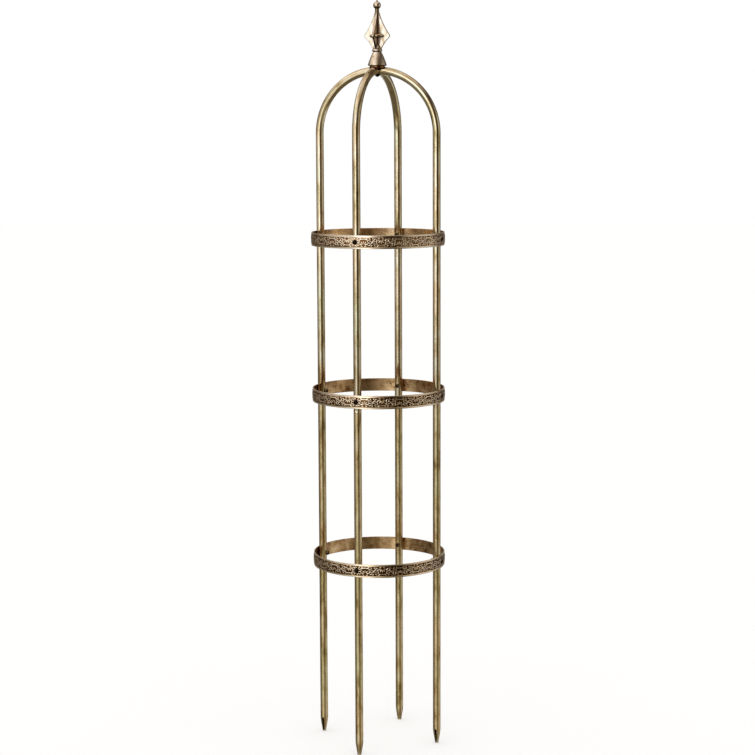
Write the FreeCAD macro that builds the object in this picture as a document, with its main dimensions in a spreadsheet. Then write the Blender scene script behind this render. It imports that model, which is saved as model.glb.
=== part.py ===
import FreeCAD, Part
import math
import os
import Sketcher

# Garden obelisk: two crossed tube hoops on four pointed legs, three embossed bands and a cast finial.
# Millimetres. +Z is up, the origin is on the ground between the four leg tips,
# and the uprights stand on the X and Y axes: front is -Y, right is +X.

doc = FreeCAD.newDocument("garden_obelisk")
sheet = doc.addObject("Spreadsheet::Sheet", "Dimensions")


class Size:
    """A length with the spreadsheet expression it comes from, so both stay together through arithmetic."""

    def __init__(self, value, text):
        self.value = value
        self.text = text

    @staticmethod
    def of(other):
        return other if isinstance(other, Size) else Size(float(other), repr(other))

    def joined(self, other, sign, value):
        return Size(value, "(%s %s %s)" % (self.text, sign, Size.of(other).text))

    def __add__(self, other):
        return self.joined(other, "+", self.value + Size.of(other).value)

    def __sub__(self, other):
        return self.joined(other, "-", self.value - Size.of(other).value)

    def __mul__(self, other):
        return self.joined(other, "*", self.value * Size.of(other).value)

    def __truediv__(self, other):
        return self.joined(other, "/", self.value / Size.of(other).value)

    def __neg__(self):
        return Size(-self.value, "(0 - %s)" % self.text)


rows = []


def dimension(alias, value):
    """One driving dimension: a plain number in the sheet, reached by its alias."""
    rows.append(alias)
    cell = "B%d" % len(rows)
    sheet.set("A%d" % len(rows), alias)
    sheet.set(cell, repr(value))
    sheet.setAlias(cell, alias)
    return Size(float(value), "Dimensions." + alias)


# Tubes
circle = dimension("upright_circle_radius", 150.0)
tube = dimension("tube_diameter", 19.0)
wall = dimension("tube_wall", 1.0)
spring = dimension("hoop_spring_height", 1506.0)
joint = dimension("tube_joint_height", 845.0)
spigot = dimension("spigot_length", 46.0)
fit_gap = dimension("fit_gap", 0.1)
dimple = dimension("dimple_radius", 2.6)
dimple_off = dimension("dimple_centre_outside_tube", 1.95)
dimple_rise = dimension("dimple_above_joint", 5.2)
tip_length = dimension("tip_taper_length", 40.0)
tip_diameter = dimension("tip_diameter", 9.6)
slit_foot = dimension("tip_slit_foot_width", 3.6)
slit_width = dimension("tip_slit_width", 5.4)
slit_height = dimension("tip_slit_height", 34.0)

# Embossed bands
band_low = dimension("bottom_band_height", 462.0)
band_middle = dimension("middle_band_height", 872.0)
band_high = dimension("top_band_height", 1253.0)
band_depth = dimension("band_depth", 32.0)
band_edge = dimension("band_edge_thickness", 2.0)
band_crown = dimension("band_crown_rise", 1.6)
vine_waves = dimension("vine_waves", 14)
rosette = dimension("rosette_diameter", 9.0)
rosette_rise = dimension("rosette_rise", 0.8)
rosette_offset = dimension("rosette_offset", 2.5)

# Screws and nuts
shank = dimension("screw_diameter", 6.0)
screw_hole = dimension("screw_hole_diameter", 6.4)
head = dimension("screw_head_diameter", 12.0)
head_rise = dimension("screw_head_rise", 3.2)
head_bow_wide = dimension("screw_head_bow_wide", 8.6)
head_bow_rise = dimension("screw_head_bow_rise", 1.82)
nut_across = dimension("nut_across_flats", 10.0)
nut_thick = dimension("nut_thickness", 5.0)
screw_tail = dimension("screw_tail", 1.5)

# Finial and its bolt
lap_half = dimension("crown_lap_half_width", 10.0)
bolt = dimension("crown_bolt_diameter", 6.0)
bolt_hole = dimension("crown_hole_diameter", 6.4)
bolt_head = dimension("crown_bolt_head_diameter", 11.0)
bolt_head_rise = dimension("crown_bolt_head_rise", 4.5)
bolt_head_edge = dimension("crown_bolt_head_edge", 1.0)
bolt_bow_wide = dimension("crown_bolt_bow_wide", 7.26)
bolt_bow_rise = dimension("crown_bolt_bow_rise", 3.33)
washer = dimension("crown_washer_diameter", 16.0)
washer_thick = dimension("crown_washer_thickness", 1.2)
bolt_reach = dimension("crown_bolt_reach", 26.0)
bell_foot = dimension("bell_foot_height", 1661.0)
bell_tall = dimension("bell_tall", 39.5)
bell_wide = dimension("bell_wide", 46.0)
bell_neck = dimension("bell_neck_wide", 20.0)
bell_ring = dimension("bell_foot_ring_wide", 37.0)
bell_ring_tall = dimension("bell_foot_ring_tall", 6.0)
bell_edge = dimension("bell_edge_rounding", 1.5)
bell_bow_wide = dimension("bell_bow_wide", 35.2)
bell_bow_height = dimension("bell_bow_above_foot", 23.5)
saddle_sweep = dimension("bell_saddle_sweep", 60.0)
collar_tall = dimension("collar_tall", 6.5)
collar_wide = dimension("collar_wide", 25.0)
collar_bulge = dimension("collar_bulge", 2.0)
spear_tall = dimension("spear_tall", 95.5)
spear_waist = dimension("spear_waist_above_collar", 31.0)
spear_wide = dimension("spear_wide", 64.0)
spear_foot = dimension("spear_foot_wide", 21.0)
spear_neck = dimension("spear_neck_wide", 10.4)
blade_thick = dimension("blade_thickness", 4.4)
tip_land = dimension("blade_tip_land", 4.4)
blade_low_bow_wide = dimension("blade_low_bow_wide", 38.0)
blade_low_bow_height = dimension("blade_low_bow_above_collar", 14.4)
blade_high_bow_wide = dimension("blade_high_bow_wide", 34.6)
blade_high_bow_height = dimension("blade_high_bow_above_waist", 25.5)
blade_end = dimension("blade_end_below_spear_top", 8.5)
core_flare = dimension("spear_core_flare_height", 12.0)
core_seat = dimension("spear_core_seat_height", 1.5)
core_waist = dimension("spear_core_waist_wide", 8.4)
plate_wide = dimension("waist_plate_wide", 37.0)
plate_thick = dimension("waist_plate_thickness", 8.0)
peg = dimension("ball_peg_diameter", 6.0)
peg_tall = dimension("ball_peg_tall", 5.0)
ball = dimension("ball_diameter", 19.0)
ball_middle = dimension("ball_middle_above_seat", 7.98)
ball_foot = dimension("ball_foot_wide", 9.6)
nub_foot_rise = dimension("nub_foot_above_ball_middle", 8.93)
blind_gap = dimension("blind_hole_gap", 0.5)
nub_wide = dimension("nub_wide", 4.6)
nub_tall = dimension("nub_tall", 2.4)
nub_point = dimension("nub_point_rise", 1.0)
doc.recompute()

tube_radius = tube / 2
crown = spring + circle
band_inside = circle + tube_radius + fit_gap
band_outside = band_inside + band_edge + band_crown
QUARTER_TURN = 90
AXIS_REACH = 10
ORIGIN = -1


def bind(feature, path, size):
    feature.setExpression(path, Size.of(size).text)


def new_body(label):
    body = doc.addObject("PartDesign::Body", label)
    body.Label = label
    return body


def new_sketch(body, name, role, height=None):
    """A sketch on one of the body's own origin planes, raised along that plane's normal if wanted."""
    plane = [item for item in body.Origin.OriginFeatures if item.Role == role][0]
    sketch = body.newObject("Sketcher::SketchObject", name)
    sketch.AttachmentSupport = [(plane, "")]
    sketch.MapMode = "FlatFace"
    if height is not None:
        bind(sketch, "AttachmentOffset.Base.z", height)
    return sketch


def place(sketch, item, end, x, y):
    """Hold a point of the sketch at x, y from its origin."""
    for kind, size in (("DistanceX", x), ("DistanceY", y)):
        size = Size.of(size)
        number = sketch.addConstraint(Sketcher.Constraint(kind, ORIGIN, 1, item, end, size.value))
        bind(sketch, "Constraints[%d]" % number, size)


def vector(corner):
    return FreeCAD.Vector(Size.of(corner[0]).value, Size.of(corner[1]).value, 0)


def outline(sketch, corners, arcs=None, closed=True):
    """Sides from corner to corner. arcs maps a side's number to a point its arc goes through."""
    arcs = arcs or {}
    sides = len(corners) if closed else len(corners) - 1
    for side in range(sides):
        start = vector(corners[side])
        end = vector(corners[(side + 1) % len(corners)])
        if side not in arcs:
            sketch.addGeometry(Part.LineSegment(start, end))
            continue
        through = vector(arcs[side])
        anticlockwise = (through - start).cross(end - through).z > 0
        ends = (start, end) if anticlockwise else (end, start)
        sketch.addGeometry(Part.Arc(ends[0], through, ends[1]))
    for side in range(sides):
        place(sketch, side, start_end(sketch, side, corners[side]), *corners[side])
        if side + 1 < sides or closed:
            following = (side + 1) % sides
            corner = corners[(side + 1) % len(corners)]
            ends = (start_end(sketch, side, corner), start_end(sketch, following, corner))
            sketch.addConstraint(Sketcher.Constraint("Coincident", side, ends[0], following, ends[1]))
        else:
            place(sketch, side, start_end(sketch, side, corners[-1]), *corners[-1])
    for side, through in arcs.items():
        marker = sketch.addGeometry(Part.Point(vector(through)), True)
        place(sketch, marker, 1, *through)
        sketch.addConstraint(Sketcher.Constraint("PointOnObject", marker, 1, side))


def start_end(sketch, item, corner):
    """Which end of a side, 1 or 2, lies at the corner: an arc is always stored anticlockwise."""
    curve = sketch.Geometry[item]
    target = vector(corner)
    return 1 if curve.StartPoint.distanceToPoint(target) < curve.EndPoint.distanceToPoint(target) else 2


def disc(sketch, x, y, diameter):
    item = sketch.addGeometry(Part.Circle(vector((x, y)), FreeCAD.Vector(0, 0, 1), diameter.value / 2))
    number = sketch.addConstraint(Sketcher.Constraint("Diameter", item, diameter.value))
    bind(sketch, "Constraints[%d]" % number, diameter)
    place(sketch, item, 3, x, y)


def revolved(body, sketch, axis="V_Axis"):
    turned = body.newObject("PartDesign::Revolution", sketch.Name + "_revolved")
    turned.Profile = sketch
    turned.ReferenceAxis = (sketch, [axis])
    turned.Angle = 360
    doc.recompute()
    return turned


def cut_through(body, sketch):
    """A pocket right through the body, both ways from the sketch. It must take material away."""
    before = body.Shape.Volume
    pocket = body.newObject("PartDesign::Pocket", sketch.Name + "_cut")
    pocket.Profile = sketch
    pocket.Type = "ThroughAll"
    pocket.Midplane = True
    doc.recompute()
    if body.Shape.Volume >= before:
        raise ValueError(sketch.Name + " cuts nothing")


def screw_holes(body, name, role, heights):
    sketch = new_sketch(body, name, role)
    for height in heights:
        disc(sketch, 0, height, screw_hole)
    cut_through(body, sketch)


def make_hoop(label, turn, open_side):
    """A tube bent to a hoop. At the crown one half of the tube is pressed into the other half,
    so that two hoops cross at one level. open_side is +1 where the top half is pressed down."""
    body = new_body(label)
    section = new_sketch(body, label + "_section", "XY_Plane", spring)
    disc(section, circle, 0, tube)
    disc(section, circle, 0, tube - wall * 2)
    bend = body.newObject("PartDesign::Revolution", label + "_bend")
    bend.Profile = section
    bend.ReferenceAxis = (section, ["V_Axis"])
    bend.Angle = 180
    bend.Reversed = True
    doc.recompute()
    arms = new_sketch(body, label + "_arm_sections", "XY_Plane", spring)
    for direction in (1, -1):
        disc(arms, circle * direction, 0, tube)
        disc(arms, circle * direction, 0, tube - wall * 2)
    straight = body.newObject("PartDesign::Pad", label + "_arms")
    straight.Profile = arms
    straight.Reversed = True
    bind(straight, "Length", spring - joint)
    doc.recompute()

    far = crown + tube * open_side
    press = new_sketch(body, label + "_press", "XZ_Plane")
    outline(press, [(-lap_half, crown), (lap_half, crown), (lap_half, far), (-lap_half, far)])
    cut_through(body, press)

    lining = new_sketch(body, label + "_lining", "YZ_Plane")
    outer = tube_radius - wall
    inner = outer - wall
    side = -1 * open_side
    corners = [(-outer, crown), (outer, crown), (inner, crown), (-inner, crown)]
    outline(lining, corners, {0: (0, crown + outer * side), 2: (0, crown + inner * side)})
    line = Part.LineSegment(vector((-AXIS_REACH, spring)), vector((AXIS_REACH, spring)))
    axis = lining.addGeometry(line, True)
    place(lining, axis, 1, -AXIS_REACH, spring)
    place(lining, axis, 2, AXIS_REACH, spring)
    folded = body.newObject("PartDesign::Revolution", label + "_folded")
    folded.Profile = lining
    folded.ReferenceAxis = (lining, ["Axis0"])
    folded.Midplane = True
    folded.setExpression("Angle", "2 * asin(%s / %s)" % (lap_half.text, circle.text))
    doc.recompute()

    screw_holes(body, label + "_screw_holes", "YZ_Plane", [band_middle, band_high])
    bolt_sketch = new_sketch(body, label + "_bolt_hole", "XY_Plane")
    disc(bolt_sketch, 0, 0, bolt_hole)
    cut_through(body, bolt_sketch)
    for direction in (1, -1):
        mark = body.newObject("PartDesign::SubtractiveSphere", "%s_dimple" % label)
        bind(mark, "Radius", dimple)
        bind(mark, "Placement.Base.x", (circle + tube_radius + dimple_off) * direction)
        bind(mark, "Placement.Base.z", joint + dimple_rise)
        doc.recompute()
    body.Placement.Rotation = FreeCAD.Rotation(FreeCAD.Vector(0, 0, 1), turn)
    return body


def make_leg(label, turn):
    """A straight tube. Its top is drawn in to a spigot for the hoop and its foot is tapered and slit."""
    body = new_body(label)
    profile = new_sketch(body, label + "_profile", "XZ_Plane")
    neck = tube_radius - wall - fit_gap
    top = joint + spigot
    corners = [
        (tip_diameter / 2, 0),
        (tube_radius, tip_length),
        (tube_radius, joint),
        (neck, joint),
        (neck, top),
        (neck - wall, top),
        (neck - wall, joint - wall),
        (tube_radius - wall, joint - wall * 2),
        (tube_radius - wall, tip_length),
        (tip_diameter / 2 - wall, 0),
    ]
    outline(profile, corners)
    revolved(body, profile)

    slit = new_sketch(body, label + "_slit", "XZ_Plane")
    half = slit_width / 2
    low = slit_foot / 2
    corners = [(-low, -tip_diameter), (low, -tip_diameter), (half, slit_height), (-half, slit_height)]
    outline(slit, corners, {2: (0, slit_height + half)})
    cut_through(body, slit)
    screw_holes(body, label + "_screw_holes", "YZ_Plane", [band_low, band_middle])
    bind(body, "Placement.Base.x", circle * round(math.cos(math.radians(turn))))
    bind(body, "Placement.Base.y", circle * round(math.sin(math.radians(turn))))
    body.Placement.Rotation = FreeCAD.Rotation(FreeCAD.Vector(0, 0, 1), turn)
    return body


def make_rosettes(label, height):
    """The round bosses of the raised pattern, one in each bend of the vine. They stand off a crowned
    face that no sketch plane follows, so the shape is set here, with its sizes read from the sheet."""
    bends = 2 * int(sheet.vine_waves)
    rise = sheet.band_crown_rise
    edge = sheet.upright_circle_radius + sheet.tube_diameter / 2 + sheet.fit_gap + sheet.band_edge_thickness
    offset = sheet.rosette_offset
    face = edge + rise - rise * (2 * offset / sheet.band_depth) ** 2
    start = edge - sheet.band_edge_thickness / 2
    bosses = []
    for bend in range(bends):
        side = 1 if bend % 2 else -1
        boss = Part.makeCylinder(
            sheet.rosette_diameter / 2,
            face + sheet.rosette_rise - start,
            FreeCAD.Vector(start, 0, offset * side),
            FreeCAD.Vector(1, 0, 0),
        )
        boss.rotate(FreeCAD.Vector(0, 0, 0), FreeCAD.Vector(0, 0, 1), 360 * (bend + 0.5) / bends)
        bosses.append(boss)
    rosettes = doc.addObject("Part::Feature", label + "_rosettes")
    rosettes.Shape = Part.makeCompound(bosses)
    bind(rosettes, "Placement.Base.z", height)
    return rosettes


def make_band(label, height):
    """A rolled hoop of strip with a crowned face, rosettes pressed up in it and four screw holes."""
    body = new_body(label + "_blank")
    profile = new_sketch(body, label + "_profile", "XZ_Plane")
    half = band_depth / 2
    edge = band_inside + band_edge
    corners = [(band_inside, -half), (edge, -half), (edge, half), (band_inside, half)]
    outline(profile, corners, {1: (edge + band_crown, 0)})
    revolved(body, profile)
    bind(body, "Placement.Base.z", height)
    pressed = doc.addObject("Part::MultiFuse", label + "_pressed")
    pressed.Shapes = [body, make_rosettes(label, height)]
    drills = []
    for number, direction in enumerate((FreeCAD.Vector(1, 0, 0), FreeCAD.Vector(0, 1, 0))):
        drill = doc.addObject("Part::Cylinder", "%s_drill_%d" % (label, number))
        bind(drill, "Radius", screw_hole / 2)
        bind(drill, "Height", band_outside * 2 + tube * 2)
        reach = band_outside + tube
        drill.Placement.Rotation = FreeCAD.Rotation(FreeCAD.Vector(0, 0, 1), direction)
        bind(drill, "Placement.Base.x", -reach * direction.x)
        bind(drill, "Placement.Base.y", -reach * direction.y)
        bind(drill, "Placement.Base.z", height)
        drills.append(drill)
    both = doc.addObject("Part::MultiFuse", label + "_drills")
    both.Shapes = drills
    band = doc.addObject("Part::Cut", label)
    band.Base = pressed
    band.Tool = both
    band.Label = label
    return band


def four_round(body, feature):
    """Repeat a piece of hardware at the four uprights."""
    plane_axis = [item for item in body.Origin.OriginFeatures if item.Role == "Z_Axis"][0]
    pattern = body.newObject("PartDesign::PolarPattern", body.Label + "_round")
    pattern.Originals = [feature]
    pattern.Axis = (plane_axis, [""])
    pattern.Angle = 360
    pattern.Occurrences = 4
    body.Tip = pattern
    doc.recompute()


def make_screws(label, height):
    """Round-headed screws from outside, through band and tube, with the tail just past the nut."""
    body = new_body(label)
    body.AllowCompound = True
    profile = new_sketch(body, label + "_profile", "XZ_Plane")
    seat = band_outside
    tail = circle - tube_radius - nut_thick - screw_tail
    corners = [
        (tail, 0),
        (seat + head_rise, 0),
        (seat, head / 2),
        (seat, shank / 2),
        (tail, shank / 2),
    ]
    outline(profile, corners, {1: (seat + head_bow_rise, head_bow_wide / 2)})
    feature = revolved(body, profile, "H_Axis")
    four_round(body, feature)
    bind(body, "Placement.Base.z", height)
    return body


def make_nuts(label, height):
    """Hexagon nuts on the inner side of the tubes."""
    body = new_body(label)
    body.AllowCompound = True
    seat = circle - tube_radius
    profile = new_sketch(body, label + "_profile", "YZ_Plane", seat - nut_thick)
    flat = nut_across / 2
    point = nut_across / math.sqrt(3)
    slope = nut_across / (2 * math.sqrt(3))
    corners = [(point, 0), (slope, flat), (-slope, flat), (-point, 0), (-slope, -flat), (slope, -flat)]
    outline(profile, corners)
    disc(profile, 0, 0, shank + fit_gap)
    block = body.newObject("PartDesign::Pad", label + "_block")
    block.Profile = profile
    bind(block, "Length", nut_thick)
    doc.recompute()
    four_round(body, block)
    bind(body, "Placement.Base.z", height)
    return body


def make_bell():
    """The cast foot of the finial, bored for the bolt and saddled over the two hoops."""
    body = new_body("finial_bell")
    profile = new_sketch(body, "bell_profile", "XZ_Plane")
    top = bell_foot + bell_tall
    bore = (bolt + fit_gap) / 2
    bore_top = crown + bolt_reach - tube_radius
    rim = bell_foot + bell_ring_tall
    corners = [
        (bore, bell_foot),
        (bell_ring / 2, bell_foot),
        (bell_ring / 2, rim),
        (bell_wide / 2 - bell_edge, rim),
        (bell_wide / 2, rim + bell_edge),
        (bell_neck / 2, top),
        (0, top),
        (0, bore_top + blind_gap),
        (bore, bore_top + blind_gap),
    ]
    outline(profile, corners, {4: (bell_bow_wide / 2, bell_foot + bell_bow_height)})
    revolved(body, profile)
    for role in ("XZ_Plane", "YZ_Plane"):
        before = body.Shape.Volume
        saddle = new_sketch(body, "bell_saddle_" + role[:2], role)
        disc(saddle, 0, crown, tube + fit_gap)
        line = Part.LineSegment(vector((-AXIS_REACH, spring)), vector((AXIS_REACH, spring)))
        axis = saddle.addGeometry(line, True)
        place(saddle, axis, 1, -AXIS_REACH, spring)
        place(saddle, axis, 2, AXIS_REACH, spring)
        groove = body.newObject("PartDesign::Groove", saddle.Name + "_groove")
        groove.Profile = saddle
        groove.ReferenceAxis = (saddle, ["Axis0"])
        groove.Midplane = True
        bind(groove, "Angle", saddle_sweep)
        doc.recompute()
        if body.Shape.Volume >= before:
            raise ValueError(saddle.Name + " cuts nothing")
    return body


def make_collar():
    body = new_body("finial_collar")
    profile = new_sketch(body, "collar_profile", "XZ_Plane")
    foot = bell_foot + bell_tall
    top = foot + collar_tall
    edge = collar_wide / 2
    corners = [(0, foot), (edge - collar_bulge, foot), (edge - collar_bulge, top), (0, top)]
    outline(profile, corners, {1: (edge, foot + collar_tall / 2)})
    revolved(body, profile)
    return body


def make_spear():
    """Four blades crossed at right angles round a slim core, with a round plate at the widest level."""
    body = new_body("finial_spear")
    foot = bell_foot + bell_tall + collar_tall
    waist = foot + spear_waist
    top = foot + spear_tall
    blade_top = top - blade_end
    low_edge = waist - tip_land / 2
    high_edge = waist + tip_land / 2
    reach = spear_wide / 2

    core = new_sketch(body, "spear_core", "XZ_Plane")
    corners = [
        (0, foot),
        (spear_foot / 2, foot),
        (spear_foot / 2, foot + core_seat),
        (spear_neck / 2, foot + core_flare),
        (core_waist / 2, waist),
        (spear_neck / 2, blade_top),
        (spear_neck / 2, top),
        (peg / 2, top),
        (peg / 2, top + peg_tall),
        (0, top + peg_tall),
    ]
    outline(core, corners)
    revolved(body, core)

    for role in ("XZ_Plane", "YZ_Plane"):
        blade = new_sketch(body, "spear_blade_" + role[:2], role)
        right = [
            (spear_foot / 2, foot),
            (reach, low_edge),
            (reach, high_edge),
            (spear_neck / 2, blade_top),
        ]
        left = [(-x, y) for x, y in reversed(right)]
        low_bow = (blade_low_bow_wide / 2, foot + blade_low_bow_height)
        high_bow = (blade_high_bow_wide / 2, waist + blade_high_bow_height)
        arcs = {
            0: low_bow,
            2: high_bow,
            4: (-high_bow[0], high_bow[1]),
            6: (-low_bow[0], low_bow[1]),
        }
        outline(blade, right + left, arcs)
        pad = body.newObject("PartDesign::Pad", blade.Name + "_pad")
        pad.Profile = blade
        pad.Midplane = True
        bind(pad, "Length", blade_thick)
        doc.recompute()

    plate = new_sketch(body, "spear_waist_plate", "XZ_Plane")
    rim = plate_wide / 2
    half = plate_thick / 2
    corners = [(0, waist - half), (rim - half, waist - half), (rim - half, waist + half), (0, waist + half)]
    outline(plate, corners, {1: (rim, waist)})
    revolved(body, plate)
    return body


def make_ball():
    body = new_body("finial_ball")
    profile = new_sketch(body, "ball_profile", "XZ_Plane")
    seat = bell_foot + bell_tall + collar_tall + spear_tall
    middle = seat + ball_middle
    nub_foot = middle + nub_foot_rise
    socket = (peg + fit_gap) / 2
    corners = [
        (socket, seat),
        (ball_foot / 2, seat),
        (nub_wide / 2, nub_foot),
        (nub_wide / 2, nub_foot + nub_tall),
        (0, nub_foot + nub_tall + nub_point),
        (0, seat + peg_tall + blind_gap),
        (socket, seat + peg_tall + blind_gap),
    ]
    outline(profile, corners, {1: (ball / 2, middle)})
    revolved(body, profile)
    return body


def make_crown_bolt():
    """A domed bolt from below: through the washer and both pressed hoops into the bell."""
    body = new_body("crown_bolt")
    profile = new_sketch(body, "bolt_profile", "XZ_Plane")
    seat = crown - tube_radius - washer_thick
    corners = [
        (0, seat - bolt_head_rise),
        (bolt_head / 2, seat - bolt_head_edge),
        (bolt_head / 2, seat),
        (bolt / 2, seat),
        (bolt / 2, crown - tube_radius + bolt_reach),
        (0, crown - tube_radius + bolt_reach),
    ]
    outline(profile, corners, {0: (bolt_bow_wide / 2, seat - bolt_bow_rise)})
    revolved(body, profile)
    return body


def make_crown_washer():
    body = new_body("crown_washer")
    face = new_sketch(body, "washer_face", "XY_Plane", crown - tube_radius - washer_thick)
    disc(face, 0, 0, washer)
    disc(face, 0, 0, bolt_hole)
    pad = body.newObject("PartDesign::Pad", "washer_pad")
    pad.Profile = face
    bind(pad, "Length", washer_thick)
    doc.recompute()
    return body


nodes = [make_hoop("hoop_left_right", 0, 1), make_hoop("hoop_front_back", QUARTER_TURN, -1)]
for turn, side in enumerate(("right", "back", "left", "front")):
    nodes.append(make_leg("leg_" + side, turn * QUARTER_TURN))
for level, height in (("bottom", band_low), ("middle", band_middle), ("top", band_high)):
    nodes.append(make_band("band_" + level, height))
    nodes.append(make_screws("screws_" + level, height))
    nodes.append(make_nuts("nuts_" + level, height))
nodes += [make_bell(), make_collar(), make_spear(), make_ball(), make_crown_bolt(), make_crown_washer()]
doc.recompute()

for item in doc.Objects:
    if "Invalid" in item.State or "Error" in item.State:
        raise ValueError(item.Name + " is not right: " + item.getStatusString())

os.makedirs("parts", exist_ok=True)
for node in nodes:
    if node.Shape.isNull() or not node.Shape.isValid():
        raise ValueError(node.Label + " has no valid shape")
    node.Shape.exportStep("parts/" + node.Label + ".step")
    print(node.Label, len(node.Shape.Solids), round(node.Shape.Volume), node.Shape.BoundBox)
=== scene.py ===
"""Garden obelisk: brass-plated tube hoops on pointed legs, embossed bands, cast finial, black screws."""
import math

import bpy
import numpy as np
from mathutils import Matrix, Vector


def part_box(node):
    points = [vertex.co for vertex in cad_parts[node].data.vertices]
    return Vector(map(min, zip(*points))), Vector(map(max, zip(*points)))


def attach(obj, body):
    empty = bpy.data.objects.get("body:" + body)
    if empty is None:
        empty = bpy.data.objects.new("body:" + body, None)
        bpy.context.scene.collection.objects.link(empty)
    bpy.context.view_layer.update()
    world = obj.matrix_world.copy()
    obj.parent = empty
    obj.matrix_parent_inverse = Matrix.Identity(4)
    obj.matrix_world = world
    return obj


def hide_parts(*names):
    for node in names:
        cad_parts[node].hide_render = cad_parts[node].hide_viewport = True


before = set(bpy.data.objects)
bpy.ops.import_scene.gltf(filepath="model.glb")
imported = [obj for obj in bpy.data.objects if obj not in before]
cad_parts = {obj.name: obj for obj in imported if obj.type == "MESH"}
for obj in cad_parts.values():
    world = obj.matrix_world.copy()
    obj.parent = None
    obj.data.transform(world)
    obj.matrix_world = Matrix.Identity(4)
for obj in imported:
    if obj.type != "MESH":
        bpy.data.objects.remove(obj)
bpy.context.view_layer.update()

MM = 0.001
TAU = 2 * math.pi


# ---------------------------------------------------------------- sizes read from the frame

def corners(node):
    """The low and the high corner of a node's box, in metres."""
    low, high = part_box(node)
    return np.array(low), np.array(high)


hoop_low, hoop_high = corners("hoop_left_right")
TUBE_R = (hoop_high[1] - hoop_low[1]) / 2
CIRCLE_R = hoop_high[0] - TUBE_R                        # circle that the uprights stand on
JOINT_Z = hoop_low[2]                                   # where upper and lower tubes meet
CROWN_Z = corners("crown_washer")[1][2] + TUBE_R        # middle line of the tubes where they cross
SPRING_Z = CROWN_Z - CIRCLE_R                           # where the arms end and the half circle starts
SPIGOT_TOP = corners("leg_right")[1][2]
BANDS = {name: corners(name) for name in ("band_bottom", "band_middle", "band_top")}
BAND_OUT = BANDS["band_top"][1][0]
BAND_DEPTH = BANDS["band_top"][1][2] - BANDS["band_top"][0][2]
BELL_Z = corners("finial_bell")[0][2]
COLLAR_TOP = corners("finial_collar")[1][2]
SPEAR_LOW, SPEAR_HIGH = (corner[2] for corner in corners("finial_spear"))


# ---------------------------------------------------------------- sizes of the tubes

TUBE_WALL = 1.0 * MM
TUBE_COLUMNS = 72
CUT_EDGE = 0.6                  # share of the wall left at a hoop's cut end, where it is rounded off
ARM_ROWS = 22
BEND_ROWS = 181

# The dimple that locks a hoop's end to the spigot inside it: up from the cut end, along, across, deep.
# The rows of a hoop's skin stand close together as far as DIMPLE_ZONE.
DIMPLE_UP = 5.2 * MM
DIMPLE_LONG = 2.2 * MM
DIMPLE_WIDE = 2.0 * MM
DIMPLE_DEEP = 1.1 * MM
DIMPLE_ZONE = 14 * MM
END_ROW = 0.25 * MM
FIRST_ROW = 0.8 * MM
ROW_STEP = 0.7 * MM

# The fold where the hoops cross, as distances along the tube from the crossing: flat up to the first,
# round again from the second. The folded half lies FOLD_WALLS walls inside the other.
LAP_FLAT = 9.8 * MM
LAP_ROUND = 13.5 * MM
FOLD_WALLS = 1.2

# The tapered, slit and crimped tip of a lower tube, and its spigot
SPIGOT_R = 8.4 * MM
SHOULDER_ROUND = 0.4 * MM
TIP_R = 4.8 * MM
TIP_LENGTH = 40 * MM
TIP_POWER = 1.15                # above 1 makes the taper leaner at the foot
TIP_CRIMP = 0.12                # share of its width that the foot loses to the crimping tool
LEAST_BORE = 1 * MM
SLIT_FOOT_HALF = 1.8 * MM
SLIT_HALF = 2.7 * MM
SLIT_SHOULDER = 34 * MM
TIP_ROWS = 51
STRAIGHT_ROWS = 16
HALF_COLUMNS = 33
RUN_SHIFT = 10                  # metres of pattern between tubes, for each radian round the obelisk


# ---------------------------------------------------------------- sizes of the bands

BAND_GAP = 0.1 * MM             # between the uprights and the strip
BAND_COLUMNS = 1568
BAND_ROWS = 52
EDGE_ROUND = 0.35 * MM
RELIEF_RISE = 0.6 * MM
LIP_RISE = 0.3 * MM
CROWN_RISE = 0.9 * MM
SKIN_GAP = 0.2 * MM             # the highest relief stays this far inside the CAD band's box
BORE_ROWS = 0.33                # places of the inner face's middle rows, as shares of half the depth

# How bare the plating is rubbed, from 0 in the recesses to 1 on the highest relief. The last table is
# added to the whole band as painted light: the top band lighter and the bottom one darker, as each
# catches the light at its height. The one above it sets each band's plain inner face, partly its duller
# plating and partly painted light, set for each band by the light that face catches.
RUBBED_EDGE = 0.9
RUBBED_MARGIN = 0.55
BORE_WEAR_AND_PAINTED_LIGHT = {"band_bottom": 0.3, "band_middle": 0.25, "band_top": 0.24}
FACE_WEAR_AND_PAINTED_LIGHT = {"band_bottom": -0.05, "band_middle": 0.0, "band_top": 0.1}

# The pressed pattern on the unrolled strip, in millimetres and radians from the middle of one bend of
# its vine. A leaf is half its length and half its width.
VINE_WAVES = 12
VINE_SWING = 7.4
VINE_HALF_WIDTH = 1.15
FAN_Y = -7.6
FAN_REACH = 6.8
FAN_START = 0.35
FAN_LEAVES = 5
FAN_LEAF = (4.4, 1.35)
SCROLL_X = 13.6
SCROLL_Y = -4.6
SCROLL_R = 3.3
SCROLL_HALF_WIDTH = 1.0
CROSS_ANGLE = 0.95
CROSS_LEAF = (7.6, 1.4)
SPRAYS = [(8.2, 9.0, 0.55, 4.0), (15.4, 7.8, -0.8, 4.2), (10.2, 1.6, -1.2, 3.6), (4.4, -9.8, 0.3, 3.6),
          (19.6, -8.4, 0.5, 3.6)]       # small leaves: along, across, angle, half length
SPRAY_SLIMNESS = 0.33
LEAF_TOP = 0.95
LEAF_GROOVE = 0.45              # how deep the groove is
GROOVE_WIDTH = 0.25             # as a share of the leaf's half width
FIELD_HALF = 11.4               # the pattern ends here and the plain margin starts
FIELD_FADE = 0.9
MARGIN_FADE = 0.8
LIP_IN = 0.7                    # the lip's line, in from the strip's edge
LIP_HALF_WIDTH = 0.8


# ---------------------------------------------------------------- mesh building

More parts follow.
